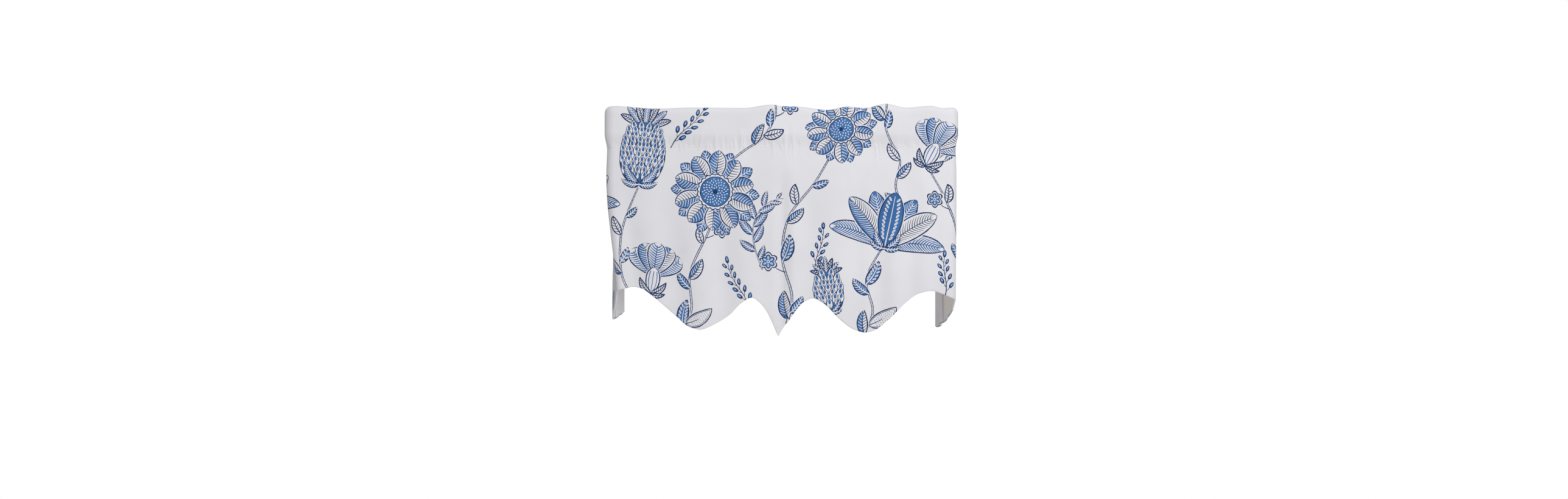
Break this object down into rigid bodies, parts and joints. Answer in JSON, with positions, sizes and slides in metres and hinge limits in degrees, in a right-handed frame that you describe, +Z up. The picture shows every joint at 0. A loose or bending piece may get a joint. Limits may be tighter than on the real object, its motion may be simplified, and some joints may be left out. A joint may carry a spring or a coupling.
{
  "type": "window valance",
  "caption": "Window valance with a rod pocket, a scalloped hem with a centre point, and returns to the wall; printed cotton with a plain lining, hanging in soft folds.",
  "frame": {"origin": "middle of the rod pocket's top edge, half way between the pocket's front and back", "axes": "+X along the front, to the right as seen from the room; +Y towards the wall; +Z up"},
  "size_m": [0.677, 0.1634, 0.4421],
  "materials": {
    "printed_cotton": "matt plain-weave cotton with a blue floral print",
    "lining_cotton": "matt plain-weave cotton"
  },
  "bodies": {
    "root": {"printed_cloth": "printed_cotton", "lining": "lining_cotton"}
  },
  "joints": []
}
